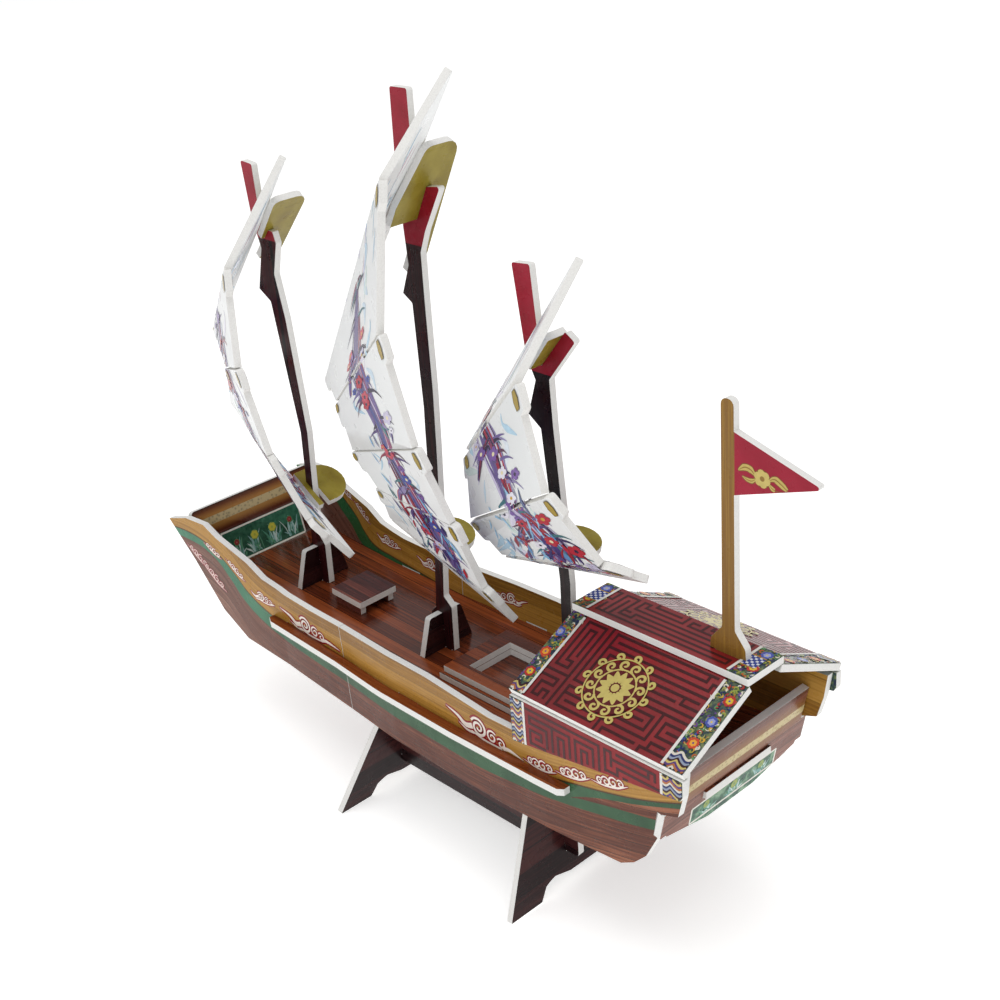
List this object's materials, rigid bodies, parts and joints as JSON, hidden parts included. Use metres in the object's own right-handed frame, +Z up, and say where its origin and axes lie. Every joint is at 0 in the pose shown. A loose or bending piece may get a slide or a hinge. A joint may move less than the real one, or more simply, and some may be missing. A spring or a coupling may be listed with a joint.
{
  "type": "model sailing junk",
  "caption": "Static foam-board model of a masted sailing junk with folded panel sails, a roofed cabin and a pennant, standing on its slotted cradle.",
  "frame": {"origin": "middle of the bounding box on the plane the stand feet rest on", "axes": "+X to the bow, +Y to port, +Z up"},
  "size_m": [0.2806, 0.093, 0.2586],
  "materials": {
    "printed_hull_board": "foam-core board with a printed satin film, wood planks and ochre band",
    "printed_deck_board": "foam-core board with a printed satin film, red-brown planks",
    "printed_roof_board": "foam-core board with a printed satin film, dark red fret pattern",
    "printed_mast_board": "foam-core board with a printed satin film, very dark brown",
    "printed_sail_board": "foam-core board with a printed glossy film, white with brush artwork",
    "printed_gold_board": "foam-core board with a printed satin film, antique gold",
    "printed_flag_board": "foam-core board with a printed satin film, crimson pennant on light wood"
  },
  "bodies": {
    "root": {"port_side_aft": "printed_hull_board", "port_side_bow": "printed_hull_board", "starboard_side_aft": "printed_hull_board", "starboard_side_bow": "printed_hull_board", "port_strake": "printed_hull_board", "starboard_strake": "printed_hull_board", "stern_board": "printed_hull_board", "bow_board": "printed_hull_board", "bow_plate": "printed_hull_board", "deck": "printed_deck_board", "hatch_frame": "printed_deck_board", "hatch_coaming": "printed_deck_board", "bench_leg_port": "printed_deck_board", "bench_leg_starboard": "printed_deck_board", "bench_plate": "printed_deck_board", "port_wall": "printed_roof_board", "port_roof_slope": "printed_roof_board", "starboard_wall": "printed_roof_board", "starboard_roof_slope": "printed_roof_board", "roof_top": "printed_roof_board", "stand_aft": "printed_mast_board", "stand_fore": "printed_mast_board", "port_stand_rail": "printed_mast_board", "starboard_stand_rail": "printed_mast_board", "main_mast": "printed_mast_board", "main_foot_bracket": "printed_mast_board", "fore_mast": "printed_mast_board", "fore_foot_bracket": "printed_mast_board", "mizzen_mast": "printed_mast_board", "mizzen_foot_bracket": "printed_mast_board", "main_sail_panel_1": "printed_sail_board", "main_sail_panel_2": "printed_sail_board", "main_sail_panel_3": "printed_sail_board", "main_sail_panel_4": "printed_sail_board", "main_sail_panel_5": "printed_sail_board", "main_sail_panel_6": "printed_sail_board", "fore_sail_panel_1": "printed_sail_board", "fore_sail_panel_2": "printed_sail_board", "fore_sail_panel_3": "printed_sail_board", "fore_sail_panel_4": "printed_sail_board", "fore_sail_panel_5": "printed_sail_board", "mizzen_sail_panel_1": "printed_sail_board", "mizzen_sail_panel_2": "printed_sail_board", "mizzen_sail_panel_3": "printed_sail_board", "mizzen_sail_panel_4": "printed_sail_board", "main_gold_upper": "printed_gold_board", "main_gold_lower": "printed_gold_board", "fore_gold_upper": "printed_gold_board", "fore_gold_lower": "printed_gold_board", "mizzen_gold_upper": "printed_gold_board", "mizzen_gold_lower": "printed_gold_board", "flag": "printed_flag_board"}
  },
  "joints": []
}
